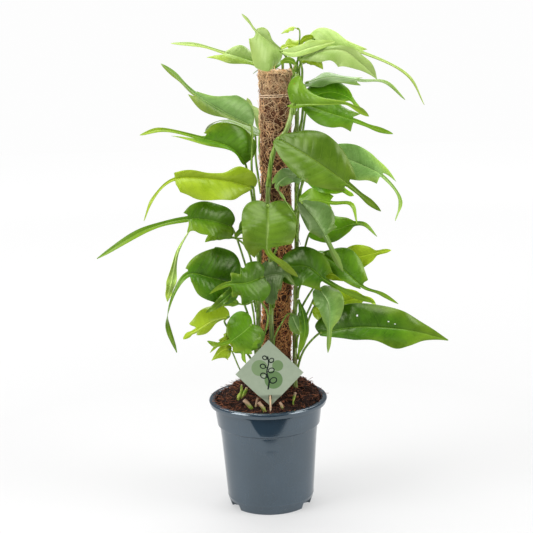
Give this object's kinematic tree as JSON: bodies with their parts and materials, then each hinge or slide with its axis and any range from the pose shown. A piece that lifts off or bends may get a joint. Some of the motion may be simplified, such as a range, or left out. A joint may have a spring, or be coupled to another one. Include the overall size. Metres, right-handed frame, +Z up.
{
  "type": "potted skeleton key pothos",
  "caption": "Climbing aroid with keyhole-shaped leaves, trained up a coir pole in a round plastic nursery pot with a plant card on a stick.",
  "frame": {"origin": "middle of the underside of the pot's base, on the ground plane", "axes": "+Z up, -Y towards the viewer and the side with the card, +X to the right as seen from the front"},
  "size_m": [0.5227, 0.2801, 0.7773],
  "materials": {
    "pot_plastic": "satin",
    "potting_soil": "matte",
    "coir": "matte",
    "tie_wire": "satin",
    "card_paper": "matte",
    "stick_wood": "matte",
    "stem": "satin",
    "stem_cutting": "matte",
    "leaf_deep": "satin",
    "leaf_mid": "satin",
    "leaf_bright": "satin",
    "leaf_lime": "satin",
    "leaf_grey": "satin",
    "leaf_pale": "satin"
  },
  "bodies": {
    "root": {"card_stick": "stick_wood", "coir_pole": "coir", "leaf_01_crown_tall": "leaf_pale", "leaf_02_crown_left": "leaf_pale", "leaf_03_crown_back": "leaf_deep", "leaf_04_crown_young": "leaf_lime", "leaf_05_crown_arch": "leaf_pale", "leaf_06_crown_front": "leaf_lime", "leaf_07_high_right": "leaf_grey", "leaf_08_high_right_back": "leaf_deep", "leaf_09_high_front": "leaf_bright", "leaf_10_upper_right": "leaf_mid", "leaf_11_upper_left": "leaf_grey", "leaf_12_behind_pole": "leaf_pale", "leaf_13_left_long_tip": "leaf_mid", "leaf_14_left_lime": "leaf_lime", "leaf_15_left_strap": "leaf_mid", "leaf_16_hanging_left": "leaf_pale", "leaf_17_left_folded": "leaf_deep", "leaf_18_left_inner": "leaf_deep", "leaf_19_front_heart": "leaf_bright", "leaf_20_front_large": "leaf_bright", "leaf_21_front_small": "leaf_grey", "leaf_22_right_far": "leaf_bright", "leaf_23_right_under": "leaf_deep", "leaf_24_right_pale": "leaf_bright", "leaf_25_right_grey": "leaf_grey", "leaf_26_right_dark": "leaf_mid", "leaf_27_right_drooping": "leaf_mid", "leaf_28_right_lime": "leaf_lime", "leaf_29_centre_right": "leaf_deep", "leaf_30_right_hanging": "leaf_grey", "leaf_31_right_low_lime": "leaf_lime", "leaf_32_right_long": "leaf_deep", "leaf_33_hanging_right": "leaf_deep", "leaf_34_centre_star": "leaf_mid", "leaf_35_centre_low": "leaf_grey", "leaf_36_left_dark_strap": "leaf_deep", "leaf_37_low_left": "leaf_lime", "leaf_38_low_heart": "leaf_bright", "leaf_39_back_high_right": "leaf_mid", "leaf_40_back_high_left": "leaf_bright", "leaf_41_back_middle": "leaf_mid", "leaf_42_back_right": "leaf_deep", "leaf_43_back_left": "leaf_mid", "leaf_44_back_low_right": "leaf_mid", "leaf_45_back_low_left": "leaf_bright", "plant_card": "card_paper", "pole_wire": "tie_wire", "pot": "pot_plastic", "soil": "potting_soil", "stub_left": "stem_cutting", "stub_middle": "stem_cutting", "stub_right": "stem_cutting", "vine_back_left": "stem", "vine_back_right": "stem", "vine_front": "stem", "vine_left": "stem", "vine_right": "stem"}
  },
  "joints": []
}
